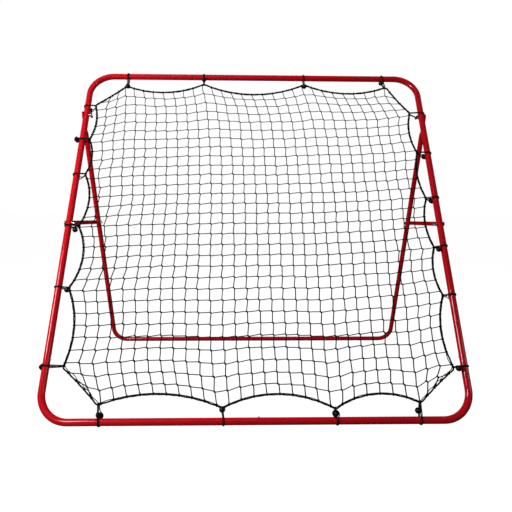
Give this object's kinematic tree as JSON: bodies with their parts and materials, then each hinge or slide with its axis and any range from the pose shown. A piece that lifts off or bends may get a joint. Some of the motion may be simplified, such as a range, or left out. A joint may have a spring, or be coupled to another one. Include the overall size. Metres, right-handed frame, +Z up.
{
  "type": "pitch back rebounder",
  "caption": "Square tubular frame leaning back on a hinged rear frame, with folding stays and a knotted net hung inside it on ball ties, for rebounding thrown balls.",
  "frame": {"origin": "on the ground, in the middle of the footprint of the open rebounder", "axes": "+X to the right as the player faces the net, +Y to the back, away from the player, +Z up"},
  "size_m": [1.5414, 0.979, 1.3355],
  "materials": {
    "red_paint": "gloss powder coat",
    "zinc": "bright zinc plate",
    "net_twine": "braided polyester twine",
    "black_cord": "braided cord",
    "elastic": "braided cover over rubber",
    "ball_plastic": "moulded plastic"
  },
  "bodies": {
    "front_frame": {"upper_left_tube": "red_paint", "upper_right_tube": "red_paint", "lower_left_tube": "red_paint", "lower_right_tube": "red_paint", "hinge_bolts": "zinc", "hinge_washers": "zinc", "hinge_wing_nuts": "zinc", "stay_front_bolts": "zinc", "stay_front_washers": "zinc", "stay_front_wing_nuts": "zinc", "border_cord": "black_cord", "net": "net_twine", "tie_balls": "ball_plastic", "tie_top_1": "elastic", "tie_top_2": "elastic", "tie_top_3": "elastic", "tie_top_4": "elastic", "tie_right_1": "elastic", "tie_right_2": "elastic", "tie_right_3": "elastic", "tie_right_4": "elastic", "tie_right_5": "elastic", "tie_right_6": "elastic", "tie_bottom_1": "elastic", "tie_bottom_2": "elastic", "tie_bottom_3": "elastic", "tie_bottom_4": "elastic", "tie_left_1": "elastic", "tie_left_2": "elastic", "tie_left_3": "elastic", "tie_left_4": "elastic", "tie_left_5": "elastic", "tie_left_6": "elastic"},
    "rear_frame": {"rear_frame": "red_paint", "stay_rear_bolts": "zinc", "stay_rear_nuts": "zinc"},
    "front_link_left": {"front_link_left": "red_paint", "rivet_inner_left": "red_paint"},
    "front_link_right": {"front_link_right": "red_paint", "rivet_inner_right": "red_paint"},
    "rear_link_left": {"rear_link_left": "red_paint", "rivet_outer_left": "red_paint"},
    "rear_link_right": {"rear_link_right": "red_paint", "rivet_outer_right": "red_paint"},
    "top_button": {"top_button": "zinc"},
    "bottom_button": {"bottom_button": "zinc"},
    "left_button": {"left_button": "zinc"},
    "right_button": {"right_button": "zinc"}
  },
  "joints": [
    {"name": "rear_fold", "type": "hinge", "parent": "front_frame", "child": "rear_frame", "pos_m": [0, 0.11923, 1.12971], "axis": [-1, 0, 0], "range_deg": [0, 27]},
    {"name": "front_stay_left", "type": "hinge", "parent": "front_frame", "child": "front_link_left", "pos_m": [-0.7518, -0.12629, 0.66792], "axis": [1, 0, 0], "range_deg": [0, 57]},
    {"name": "rear_stay_left", "type": "hinge", "parent": "rear_frame", "child": "rear_link_left", "pos_m": [-0.7646, 0.27152, 0.65557], "axis": [-1, 0, 0], "range_deg": [0, 46.5]},
    {"name": "front_stay_right", "type": "hinge", "parent": "front_frame", "child": "front_link_right", "pos_m": [0.7518, -0.12629, 0.66792], "axis": [1, 0, 0], "range_deg": [0, 57]},
    {"name": "rear_stay_right", "type": "hinge", "parent": "rear_frame", "child": "rear_link_right", "pos_m": [0.7646, 0.27152, 0.65557], "axis": [-1, 0, 0], "range_deg": [0, 46.5]},
    {"name": "top_button_press", "type": "slide", "parent": "front_frame", "child": "top_button", "axis": [0, 0.4694, 0.883], "range_m": [0, 0.0044], "stiffness_N_per_m": 900},
    {"name": "bottom_button_press", "type": "slide", "parent": "front_frame", "child": "bottom_button", "axis": [0, -0.4694, -0.883], "range_m": [0, 0.0044], "stiffness_N_per_m": 900},
    {"name": "left_button_press", "type": "slide", "parent": "front_frame", "child": "left_button", "axis": [-1, 0, 0], "range_m": [0, 0.0044], "stiffness_N_per_m": 900},
    {"name": "right_button_press", "type": "slide", "parent": "front_frame", "child": "right_button", "axis": [1, 0, 0], "range_m": [0, 0.0044], "stiffness_N_per_m": 900}
  ],
  "couplings": [
    {"joint": "front_stay_left", "follows": "rear_fold", "ratio": 2.0937},
    {"joint": "rear_stay_left", "follows": "rear_fold", "ratio": 1.7163},
    {"joint": "front_stay_right", "follows": "rear_fold", "ratio": 2.0937},
    {"joint": "rear_stay_right", "follows": "rear_fold", "ratio": 1.7163}
  ]
}
